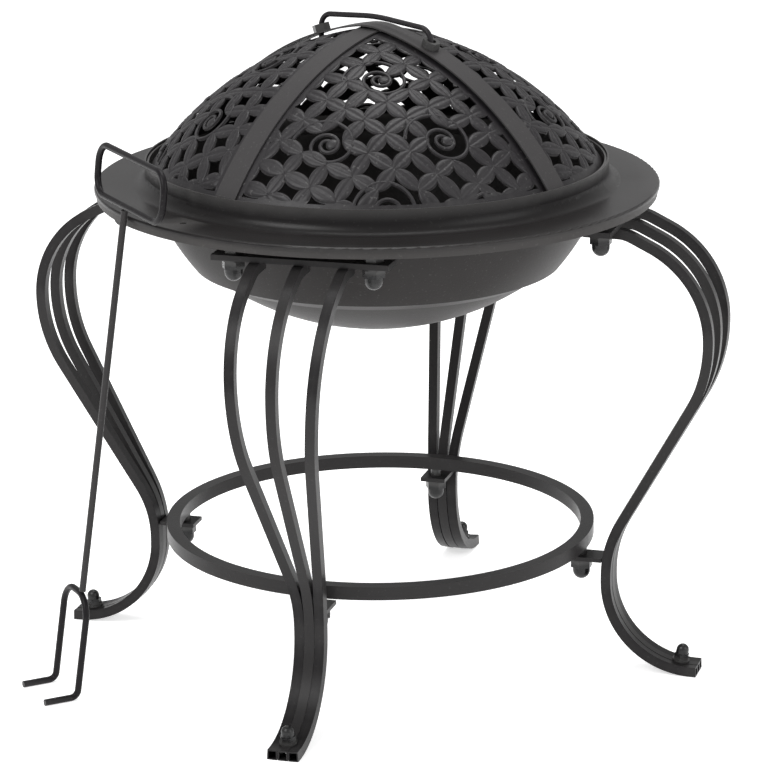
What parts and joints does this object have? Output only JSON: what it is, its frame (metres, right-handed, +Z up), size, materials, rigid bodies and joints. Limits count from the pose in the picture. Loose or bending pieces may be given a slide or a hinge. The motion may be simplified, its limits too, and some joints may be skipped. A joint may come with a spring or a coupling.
{
  "type": "fire bowl",
  "caption": "Free-standing steel fire bowl on bent-rod legs, with a lift-off domed leaf-pattern spark guard and a two-pronged poker.",
  "frame": {"origin": "on the floor, on the axis of the bowl", "axes": "+Z up, the front leg points along -Y, the right leg along +X"},
  "size_m": [0.5248, 0.5248, 0.4917],
  "materials": {
    "frame_black": "satin",
    "bowl_black": "satin",
    "rim_black": "satin",
    "leaf_grey": "satin",
    "strap_black": "satin",
    "poker_black": "satin",
    "fastener_black": "satin"
  },
  "bodies": {
    "stand": {"back_leg_bracket": "frame_black", "back_leg_left_rod": "frame_black", "back_leg_middle_rod": "frame_black", "back_leg_right_rod": "frame_black", "back_ring_tab": "frame_black", "base_ring": "frame_black", "bracket_cap_nuts": "fastener_black", "bracket_hex_nuts": "fastener_black", "bracket_studs": "fastener_black", "bracket_washers": "fastener_black", "fire_bowl": "bowl_black", "foot_cap_nuts": "fastener_black", "foot_studs": "fastener_black", "foot_washers": "fastener_black", "front_leg_bracket": "frame_black", "front_leg_left_rod": "frame_black", "front_leg_middle_rod": "frame_black", "front_leg_right_rod": "frame_black", "front_ring_tab": "frame_black", "left_leg_bracket": "frame_black", "left_leg_left_rod": "frame_black", "left_leg_middle_rod": "frame_black", "left_leg_right_rod": "frame_black", "left_ring_tab": "frame_black", "right_leg_bracket": "frame_black", "right_leg_left_rod": "frame_black", "right_leg_middle_rod": "frame_black", "right_leg_right_rod": "frame_black", "right_ring_tab": "frame_black", "rim_ring": "rim_black", "ring_cap_nuts": "fastener_black", "ring_studs": "fastener_black", "ring_washers": "fastener_black"},
    "spark_guard": {"guard_handle": "strap_black", "guard_handle_nuts": "fastener_black", "guard_hoop": "rim_black", "guard_panel_1": "leaf_grey", "guard_panel_2": "leaf_grey", "guard_panel_3": "leaf_grey", "guard_panel_4": "leaf_grey", "guard_strap_lower": "strap_black", "guard_strap_upper": "strap_black"},
    "poker": {"poker_fork": "poker_black", "poker_loop": "poker_black", "poker_shaft": "poker_black"}
  },
  "joints": [
    {"name": "guard_lift", "type": "slide", "parent": "stand", "child": "spark_guard", "axis": [0, 0, 1], "range_m": [0, 0.3]},
    {"name": "poker_lift", "type": "slide", "parent": "stand", "child": "poker", "axis": [0, 0, 1], "range_m": [0, 0.3]}
  ]
}
